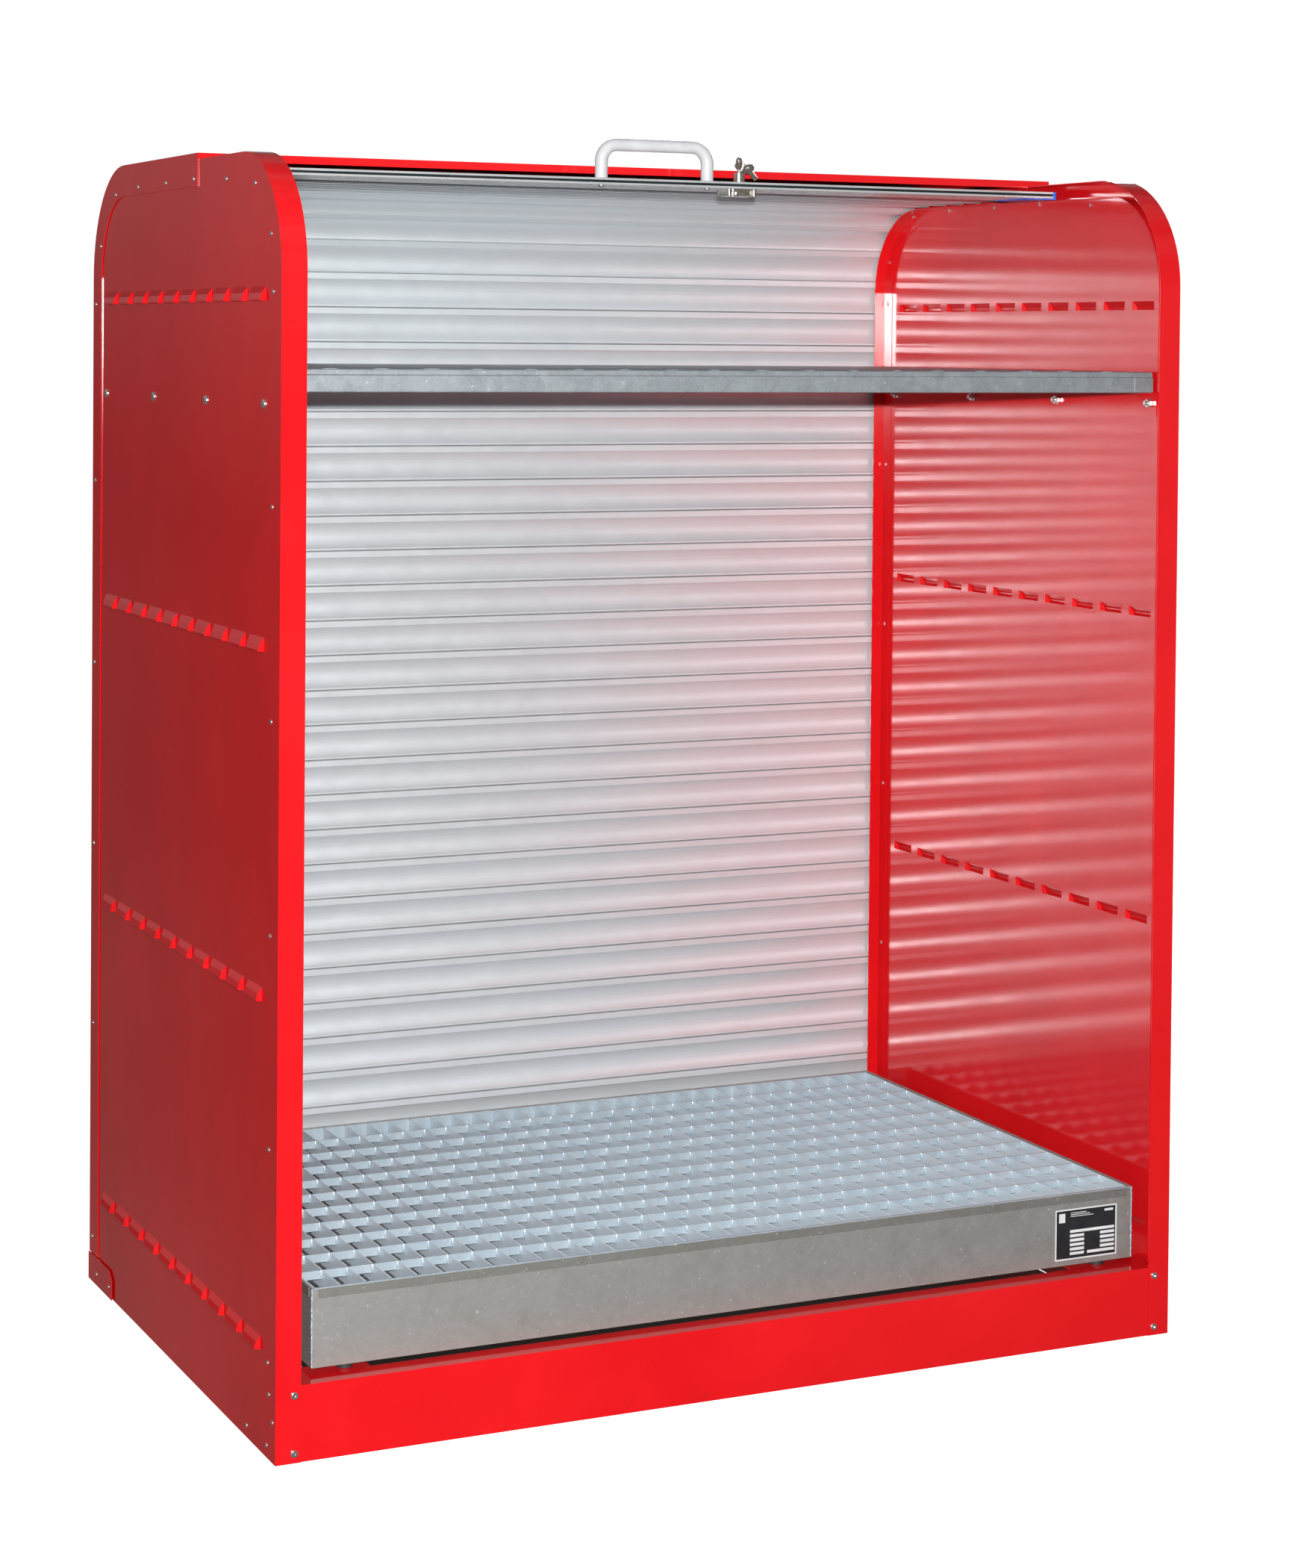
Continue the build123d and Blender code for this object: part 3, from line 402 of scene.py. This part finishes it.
# ================================================================ shutter
def path_point(s):
    """Centre line of the shutter: s is 0 where the rear bend starts, negative down the back."""
    bend = math.pi / 2 * BEND_R
    if s <= 0:
        return BEND_Y + BEND_R, BEND_Z + s
    if s <= bend:
        a = s / BEND_R
        return BEND_Y + BEND_R * math.cos(a), BEND_Z + BEND_R * math.sin(a)
    return BEND_Y - (s - bend), BEND_Z + BEND_R


def slat_section():
    """Slat outline: u up the run, w outwards. Flat foot, bowed hollow, flat lip."""
    u0, u1 = SLAT_PLAY, PITCH - SLAT_PLAY
    face, back = -SLAT_INNER, -2.6 * MM       # front and rear of the foot and the lip
    foot = u0 + 3.0 * MM
    top = u1 - 11.0 * MM                      # lower edge of the lip
    bow_start, bow_length = foot + 1.2 * MM, top - foot - 2.0 * MM
    rise, steps = 6.4 * MM, 16
    soft = 0.5 * MM                           # chamfer of the front edges

    def bow(f, level):
        return bow_start + bow_length * f, level + rise * (1 - (2 * f - 1) ** 2) ** 0.92

    inner = [(u0, face + soft), (u0 + soft, face), (foot, face)]
    inner += [bow(i / steps, -3.3 * MM) for i in range(steps + 1)]
    inner += [(top, face), (u1 - soft, face), (u1, face + soft), (u1, back)]
    outer = [(top + 0.4 * MM, back)]
    outer += [bow(1 - i / steps, -1.6 * MM) for i in range(steps + 1)]
    return inner + outer


HOOK_REACH = 3.2 * MM                     # strip behind a joint, to either side of it
HOOK_FACE, HOOK_BACK = -2.2 * MM, -0.6 * MM
HOOK = [(HOOK_REACH, HOOK_FACE), (HOOK_REACH, HOOK_BACK), (-HOOK_REACH, HOOK_BACK), (-HOOK_REACH, HOOK_FACE)]


def add_slat(maker, s0):
    """One slat hung between two path points one pitch apart."""
    y0, z0 = path_point(s0)
    y1, z1 = path_point(s0 + PITCH)
    chord = math.hypot(y1 - y0, z1 - z0)
    uy, uz = (y1 - y0) / chord, (z1 - z0) / chord
    start = (chord - PITCH) / 2

    def placed(section):
        return [(y0 + uy * (u + start) + uz * w, z0 + uz * (u + start) - uy * w) for u, w in section]

    add_strip(maker, placed(slat_section()), -SLAT_HALF, SLAT_HALF)
    # the strip behind the joint is dark joint aluminium: painted shade in the joint line
    add_strip(maker, placed(HOOK), -SLAT_HALF, SLAT_HALF, 1)


def make_slats():
    runs = {
        "back_slats": ("curtain_back", range(-2 - BACK_COUNT, -2)),
        "entry_slat_low": ("curtain_entry_low", [-2]),
        "entry_slat_high": ("curtain_entry_high", [-1]),
        "bend_slats": ("curtain_bend", [0, 1]),
        "exit_slat_low": ("curtain_exit_low", [2]),
        "exit_slat_high": ("curtain_exit_high", [3]),
        "top_slats": ("curtain_front", range(4, 4 + TOP_COUNT)),
    }
    for node, (body, indices) in runs.items():
        maker = bmesh.new()
        for index in indices:
            add_slat(maker, FIRST_JOINT + PITCH * index)
        finish_piece("profiled_" + node, maker, body, [LOOKS["aluminium"], JOINT_SHADE_METAL],
                     [node], sharp=30.0)


def make_end_bar():
    """End bar: groove along the front edge holding a dark sheet as painted shade, fine ribs underneath."""
    lo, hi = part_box("end_bar")
    groove_low, groove_high, depth = lo.z + 4.0 * MM, lo.z + 8.3 * MM, 9 * MM
    edge = 0.8 * MM
    outline = [(lo.y + edge, hi.z), (lo.y, hi.z - edge), (lo.y, groove_high), (lo.y + depth, groove_high),
               (lo.y + depth, groove_low), (lo.y, groove_low), (lo.y, lo.z + edge), (lo.y + edge, lo.z)]
    ribs, rib_depth, rib_slope, rib_margin = 9, 1.6 * MM, 0.6 * MM, 8 * MM
    step = (hi.y - lo.y - 2 * rib_margin) / ribs
    open_part = step * 0.42
    for i in range(ribs):
        y = lo.y + rib_margin + i * step
        outline += [(y, lo.z), (y + rib_slope, lo.z + rib_depth), (y + open_part, lo.z + rib_depth),
                    (y + open_part + rib_slope, lo.z)]
    outline += [(hi.y, lo.z), (hi.y, hi.z)]
    maker = bmesh.new()
    add_strip(maker, outline, lo.x, hi.x)
    # dark sheet set into the groove: painted shade in its recess
    overlap = 0.1 * MM
    shade_front, shade_back = lo.y + 1.6 * MM, lo.y + depth + 0.3 * MM
    shade_low, shade_high = groove_low - overlap, groove_high + overlap
    shade_sheet = [(shade_front, shade_high), (shade_front, shade_low),
              (shade_back, shade_low), (shade_back, shade_high)]
    end_gap = 0.5 * MM
    add_strip(maker, shade_sheet, lo.x + end_gap, hi.x - end_gap, 1)
    finish_piece("ribbed_end_bar", maker, "curtain_front", [BAR_METAL, GROOVE_SHADE_METAL],
                 ["end_bar"], sharp=25.0)


# ================================================================ grating
GRATE_CELLS = (35, 11)
BAR_W = 2.0 * MM
BAR_CHAMFER = 0.35 * MM
CROSS_DEPTH = 14.0 * MM
BEAD_OFFSET = 2.2 * MM    # beads sit this far left of a bearing bar's middle


def add_bead(maker, x, y, z0, z1, radius):
    """Upright zinc fillet with rounded ends."""
    profile = ((z0, 0.15), (z0 + 0.6 * radius, 0.8), (z0 + 1.3 * radius, 1.0),
               (z1 - 0.9 * radius, 1.0), (z1 - 0.3 * radius, 0.75), (z1, 0.15))
    add_loft(maker, [round_ring(x, y, z, radius * share, 8) for z, share in profile])


def make_grating():
    """Deep bearing bars along Y, shallow cross bars along X, a zinc bead at every crossing."""
    lo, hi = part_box("grating")
    nx, ny = GRATE_CELLS
    maker = bmesh.new()
    step_x = (hi.x - lo.x - BAR_W) / nx
    step_y = (hi.y - lo.y - BAR_W) / ny
    # bearing bars take the lighter zinc (material 1): painted light between the bars
    for i in range(nx + 1):
        x = lo.x + i * step_x
        add_block(maker, (x, lo.y, lo.z), (x + BAR_W, hi.y, hi.z), BAR_CHAMFER, 1)
    for j in range(ny + 1):
        y = lo.y + j * step_y
        bottom = lo.z if j in (0, ny) else hi.z - CROSS_DEPTH
        add_block(maker, (lo.x, y, bottom), (hi.x, y + BAR_W, hi.z), BAR_CHAMFER)
    luck = random.Random(11)
    for i in range(nx + 1):
        x = lo.x + i * step_x + BAR_W / 2 - BEAD_OFFSET
        for j in range(1, ny):
            y = lo.y + j * step_y
            top = hi.z + luck.uniform(0.3, 0.9) * MM
            bottom = hi.z - CROSS_DEPTH + luck.uniform(1.0, 2.5) * MM
            add_bead(maker, x, y, bottom, top, luck.uniform(1.9, 2.5) * MM)
    finish_piece("press_locked_grating", maker, "grating", [GRATE_ZINC, BEARER_LIT_ZINC],
                 ["grating"], sharp=40.0)


# ================================================================ shelf
def add_dash(maker, x, y, z, length, width, height):
    """Low pressed bead with tapered ends, along X, in the lighter zinc of material 1 as painted highlight."""
    rings = []
    for f in (-1.0, -0.82, -0.4, 0.4, 0.82, 1.0):
        w = width / 2 * (1 - f ** 4 * 0.8)
        h = height * (1 - f ** 4 * 0.95)
        rings.append([(x + f * length / 2, y + w * math.cos(a), z + h * math.sin(a) - 0.2 * MM)
                      for a in (math.pi * k / 6 for k in range(7))])
    add_loft(maker, rings, material=1)


def make_shelf():
    """Folded deck with a stepped front lip, end walls, corner plates, and beads along the front edge in a lighter
    zinc as painted highlight.
    """
    lo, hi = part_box("shelf")
    wall, step, ledge = 1.5 * MM, 2.0 * MM, 9.0 * MM
    half = wall / 2
    front = lo.y + half
    line = [(hi.y - 18 * MM, lo.z + half), (hi.y - half, lo.z + half), (hi.y - half, hi.z - half),
            (front + step, hi.z - half), (front + step, hi.z - ledge), (front, hi.z - ledge - 1.2 * MM),
            (front, lo.z + half), (front + 16 * MM, lo.z + half)]
    maker = bmesh.new()
    side_gap, chamfer = 2.2 * MM, 0.3 * MM
    add_strip(maker, sheet_outline(line, wall, 1.6 * MM), lo.x + side_gap, hi.x - side_gap)
    for x0, x1 in ((lo.x, lo.x + wall), (hi.x - wall, hi.x)):
        add_block(maker, (x0, lo.y + 3 * MM, lo.z), (x1, hi.y - 1 * MM, hi.z - 1.2 * MM), chamfer)
    plate_in, plate_out = 38 * MM, 0.4 * MM
    plate_low, plate_high = lo.z + 1 * MM, hi.z - ledge - 1 * MM
    for x0, x1 in ((lo.x + plate_out, lo.x + plate_in), (hi.x - plate_in, hi.x - plate_out)):
        add_block(maker, (x0, lo.y - 0.3 * MM, plate_low), (x1, lo.y + 1.2 * MM, plate_high), chamfer)
    pitch, first, luck = 83 * MM, 70 * MM, random.Random(5)
    dash_y, dash_z = lo.y + step + 1.4 * MM, hi.z - 0.1 * MM
    for i in range(int((hi.x - lo.x) / pitch)):
        x = lo.x + first + i * pitch + luck.uniform(-4, 4) * MM
        add_dash(maker, x, dash_y, dash_z, luck.uniform(18, 30) * MM, 5 * MM, 1.5 * MM)
    # the beads take the lighter grating zinc: painted highlight on the front edge
    finish_piece("folded_shelf", maker, "carcass", [LOOKS["galvanised"], GRATE_ZINC], ["shelf"],
                 sharp=38.0)


# ================================================================ tray details and type plate
def make_tray_hem():
    """Doubled rim strips on the tray's front and sides, and a lighter zinc edge above the front one as painted
    highlight.
    """
    lo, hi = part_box("spill_tray")
    maker = bmesh.new()
    proud, sunk, corner = 1.3 * MM, 0.2 * MM, 11 * MM
    bottom, top = hi.z - 15.5 * MM, hi.z + 0.2 * MM
    add_block(maker, (lo.x + corner, lo.y - proud, bottom), (hi.x - corner, lo.y + sunk, top), 0.35 * MM)
    for x0, x1 in ((lo.x - proud, lo.x + sunk), (hi.x - sunk, hi.x + proud)):
        add_block(maker, (x0, lo.y + corner, bottom), (x1, hi.y - corner, top), 0.35 * MM)
    # edge strip in the lighter grating zinc: painted highlight along the lit top edge
    end_gap = 1 * MM
    add_block(maker, (lo.x + end_gap, lo.y - proud - 0.2 * MM, hi.z - 1.6 * MM),
              (hi.x - end_gap, lo.y + 1.8 * MM, hi.z + 0.4 * MM), 0.5 * MM, 1)
    finish_piece("tray_hem", maker, "tray", [HEM_ZINC, GRATE_ZINC])


def make_tray_welds():
    """Ragged weld up each corner of the tray."""
    lo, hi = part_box("spill_tray")
    maker = bmesh.new()
    luck = random.Random(3)
    inset, end_gap, steps = 0.7 * MM, 1 * MM, 60
    for x in (lo.x + inset, hi.x - inset):
        for y in (lo.y + inset, hi.y - inset):
            rings = []
            for k in range(steps + 1):
                z = lo.z + end_gap + (hi.z - lo.z - 2 * end_gap) * k / steps
                radius = luck.uniform(1.0, 1.9) * MM
                cx = x + luck.uniform(-0.4, 0.4) * MM
                cy = y + luck.uniform(-0.4, 0.4) * MM
                rings.append(round_ring(cx, cy, z, radius, 8))
            add_loft(maker, rings)
    finish_piece("tray_corner_welds", maker, "tray", [GRATE_ZINC], sharp=60.0)


def make_type_plate():
    """Black plate with a light border and empty fields, no lettering."""
    lo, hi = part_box("type_plate")
    wide, tall = hi.x - lo.x, hi.z - lo.z
    maker = bmesh.new()
    add_block(maker, (lo.x, lo.y + 0.25 * MM, lo.z), (hi.x, hi.y, hi.z), 0.2 * MM)

    def field(x0, x1, z0, z1):
        """Light area, in shares of the plate's width and height."""
        corner_a = (lo.x + wide * x0, lo.y + 0.08 * MM, lo.z + tall * z0)
        corner_b = (lo.x + wide * x1, lo.y + 0.6 * MM, lo.z + tall * z1)
        add_block(maker, corner_a, corner_b, 0.05 * MM, 1)

    edge = 0.022
    right_end = 0.96
    field(0.0, edge, 0.0, 1.0)
    field(1 - edge, 1.0, 0.0, 1.0)
    field(edge, 1 - edge, 0.0, 0.03)
    field(edge, 1 - edge, 0.97, 1.0)
    rows, row_tall = 6, 0.055
    for row in range(rows):
        z = 0.09 + row * 0.087
        last = row == rows - 1
        field(0.24, right_end if last else 0.47, z, z + row_tall)
        if not last:
            field(0.52 if row == 0 else 0.73, right_end, z, z + row_tall)
    field(0.06, 0.16, 0.74, 0.92)
    for row in range(3):
        field(0.25, 0.62 - 0.06 * row, 0.84 + row * 0.035, 0.853 + row * 0.035)
    field(0.80, 0.94, 0.88, 0.925)
    finish_piece("field_plate", maker, "tray", [LOOKS["plate_black"], PLATE_PRINT],
                 ["type_plate"])


# ================================================================ handle
def make_handle():
    """Bent round tube whose feet are slightly wider where they meet the bar."""
    lo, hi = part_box("handle")
    radius = (hi.y - lo.y) / 2
    bend, foot, flare = 29.0 * MM, 3 * MM, 1.05
    sunk = lo.z + 0.4 * MM
    y = (lo.y + hi.y) / 2
    xa, xb = lo.x + radius, hi.x - radius
    top = hi.z - radius
    steps, sides = 14, 28
    route = [(xa, sunk, 0.0), (xa, lo.z + foot, 0.0), (xa, top - bend, 0.0)]
    for k in range(1, steps + 1):
        a = math.pi / 2 * k / steps
        route.append((xa + bend * (1 - math.cos(a)), top - bend + bend * math.sin(a), a))
    for k in range(steps + 1):
        a = math.pi / 2 * k / steps
        route.append((xb - bend * (1 - math.sin(a)), top - bend + bend * math.cos(a), math.pi / 2 + a))
    route += [(xb, lo.z + foot, math.pi), (xb, sunk, math.pi)]
    rings = []
    for n, (x, z, turn) in enumerate(route):
        side = Vector((math.cos(turn), 0.0, -math.sin(turn)))
        r = radius * (flare if n in (0, len(route) - 1) else 1.0)
        ring = []
        for i in range(sides):
            a = math.tau * i / sides
            ring.append(Vector((x, y, z)) + side * (r * math.cos(a)) + Vector((0, r * math.sin(a), 0)))
        rings.append(ring)
    maker = bmesh.new()
    add_loft(maker, rings)
    finish_piece("grab_handle", maker, "curtain_front", [LOOKS["handle_plastic"]],
                 ["handle"], sharp=50.0)


# ================================================================ stage, light, camera
FLOOR_Z = -0.4 * MM
FLOOR_HALF = 14.0
FOOT_INSET = 12 * MM      # the dark part of the floor ends this far inside the cabinet's outline


def floor_sheet(name, rings, glow):
    """Flat piece of floor between two nested rectangles, or filling one."""
    maker = bmesh.new()
    rows = [[maker.verts.new((x, y, FLOOR_Z)) for x, y in ring] for ring in rings]
    if len(rows) == 1:
        maker.faces.new(rows[0])
    else:
        for i in range(4):
            j = (i + 1) % 4
            maker.faces.new((rows[0][i], rows[0][j], rows[1][j], rows[1][i]))
    mesh = bpy.data.meshes.new(name)
    maker.to_mesh(mesh)
    maker.free()
    floor = bpy.data.objects.new(name, mesh)
    bpy.context.scene.collection.objects.link(floor)
    look = Look(name, Roughness=0.9, Emission_Strength=glow)
    look.shader.inputs["Emission Color"].default_value = (1.0, 1.0, 1.0, 1.0)
    look.set("Base Color", look.mix(look.noise(3.0), (0.44, 0.44, 0.44), (0.47, 0.47, 0.47)))
    mesh.materials.append(look.material)
    floor.visible_glossy = False
    floor.visible_diffuse = False


def make_floor():
    """Bright floor around the cabinet, left dark under it."""
    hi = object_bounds()[1]

    def corners(x, y):
        return [(-x, -y), (x, -y), (x, y), (-x, y)]

    foot = corners(hi.x - FOOT_INSET, hi.y - FOOT_INSET)
    floor_sheet("floor", [corners(FLOOR_HALF, FLOOR_HALF), foot], 1.0)
    floor_sheet("floor_under", [foot], 0.0)


ROOM_BELOW = (0.135, 0.128, 0.120, 1.0)
ROOM_ABOVE = (0.19, 0.19, 0.195, 1.0)
ROOM_RISE = (-0.25, 0.35)                 # the shade changes between these heights of the view
PATCH_SCALE = 3.2
PATCH_LEVELS = (0.38, 0.62, 0.45, 1.5)    # noise from..to gives strength from..to


def make_world():
    """White to the eye; as light, a soft dim room, paler above than below, with broad uneven patches."""
    world = bpy.data.worlds.new("studio")
    bpy.context.scene.world = world
    world.use_nodes = True
    tree = world.node_tree
    tree.nodes.clear()
    coords = tree.nodes.new("ShaderNodeTexCoord")
    split = tree.nodes.new("ShaderNodeSeparateXYZ")
    tree.links.new(coords.outputs["Generated"], split.inputs[0])
    rise = tree.nodes.new("ShaderNodeMapRange")
    rise.inputs["From Min"].default_value, rise.inputs["From Max"].default_value = ROOM_RISE
    tree.links.new(split.outputs["Z"], rise.inputs["Value"])
    shade = tree.nodes.new("ShaderNodeMix")
    shade.data_type = "RGBA"
    shade.inputs[6].default_value = ROOM_BELOW
    shade.inputs[7].default_value = ROOM_ABOVE
    tree.links.new(rise.outputs["Result"], shade.inputs["Factor"])
    patches = tree.nodes.new("ShaderNodeTexNoise")
    patches.inputs["Scale"].default_value = PATCH_SCALE
    patches.inputs["Detail"].default_value = 2.0
    tree.links.new(coords.outputs["Generated"], patches.inputs["Vector"])
    level = tree.nodes.new("ShaderNodeMapRange")
    for socket, value in zip(("From Min", "From Max", "To Min", "To Max"), PATCH_LEVELS):
        level.inputs[socket].default_value = value
    tree.links.new(patches.outputs["Fac"], level.inputs["Value"])
    room = tree.nodes.new("ShaderNodeBackground")
    tree.links.new(shade.outputs[2], room.inputs["Color"])
    tree.links.new(level.outputs["Result"], room.inputs["Strength"])
    plain = tree.nodes.new("ShaderNodeBackground")
    plain.inputs["Color"].default_value = (1.0, 1.0, 1.0, 1.0)
    seen = tree.nodes.new("ShaderNodeLightPath")
    pick = tree.nodes.new("ShaderNodeMixShader")
    tree.links.new(seen.outputs["Is Camera Ray"], pick.inputs["Fac"])
    tree.links.new(room.outputs[0], pick.inputs[1])
    tree.links.new(plain.outputs[0], pick.inputs[2])
    out = tree.nodes.new("ShaderNodeOutputWorld")
    tree.links.new(pick.outputs[0], out.inputs["Surface"])


CAMERA_PLACE = Vector((-2.3287, -5.0837, 1.7106))
CAMERA_TURN = (-25.10, 1.317, 0.481)      # azimuth, elevation and roll in degrees
FOCAL_SHARE = 2.0201                      # focal length over the picture's height
AXIS_SHARE = 0.23548                      # optical axis above the picture's centre, over its height
PICTURE = (1743, 2100)
SENSOR = 36.0


def camera_axes():
    """Right, up and back directions of the turned camera."""
    azimuth, elevation, roll = (math.radians(v) for v in CAMERA_TURN)
    back = Vector((math.sin(azimuth) * math.cos(elevation), -math.cos(azimuth) * math.cos(elevation),
                   math.sin(elevation)))
    right = Vector((math.cos(azimuth), math.sin(azimuth), 0.0))
    up = back.cross(right)
    turned_right = right * math.cos(roll) + up * math.sin(roll)
    turned_up = up * math.cos(roll) - right * math.sin(roll)
    return turned_right, turned_up, back


def make_camera():
    right, up, back = camera_axes()
    data = bpy.data.cameras.new("camera")
    data.sensor_fit = "VERTICAL"
    data.sensor_height = SENSOR
    data.sensor_width = SENSOR * PICTURE[0] / PICTURE[1]
    data.lens = SENSOR * FOCAL_SHARE
    data.shift_y = -AXIS_SHARE
    camera = bpy.data.objects.new("camera", data)
    camera.matrix_world = Matrix((
        (right.x, up.x, back.x, CAMERA_PLACE.x),
        (right.y, up.y, back.y, CAMERA_PLACE.y),
        (right.z, up.z, back.z, CAMERA_PLACE.z),
        (0.0, 0.0, 0.0, 1.0)))
    bpy.context.scene.collection.objects.link(camera)
    bpy.context.scene.camera = camera


def area_light(name, place, target, size, power):
    data = bpy.data.lights.new(name, "AREA")
    data.shape = "DISK"
    data.size = size
    data.energy = power
    light = bpy.data.objects.new(name, data)
    light.location = place
    light.rotation_euler = (Vector(target) - Vector(place)).to_track_quat("-Z", "Y").to_euler()
    bpy.context.scene.collection.objects.link(light)


def make_lights():
    """Small hard key just above the camera, wide soft fills in front and behind."""
    middle = (0.0, 0.0, 0.95)
    area_light("key", CAMERA_PLACE + Vector((0.02, 0.0, 0.13)), middle, 0.05, 470.0)
    area_light("fill_front", (-3.2, -5.6, 3.2), middle, 2.6, 10.0)
    area_light("fill_back", (2.6, 4.6, 3.4), middle, 3.0, 240.0)
    area_light("fill_back_left", (-4.4, 2.6, 2.8), (0.0, 0.5, 1.0), 2.2, 12.0)


dress_frame()
make_slats()
make_end_bar()
make_grating()
make_shelf()
make_tray_hem()
make_tray_welds()
make_type_plate()
make_handle()
make_floor()
make_world()
make_lights()
make_camera()
bpy.context.scene.view_settings.view_transform = "Standard"
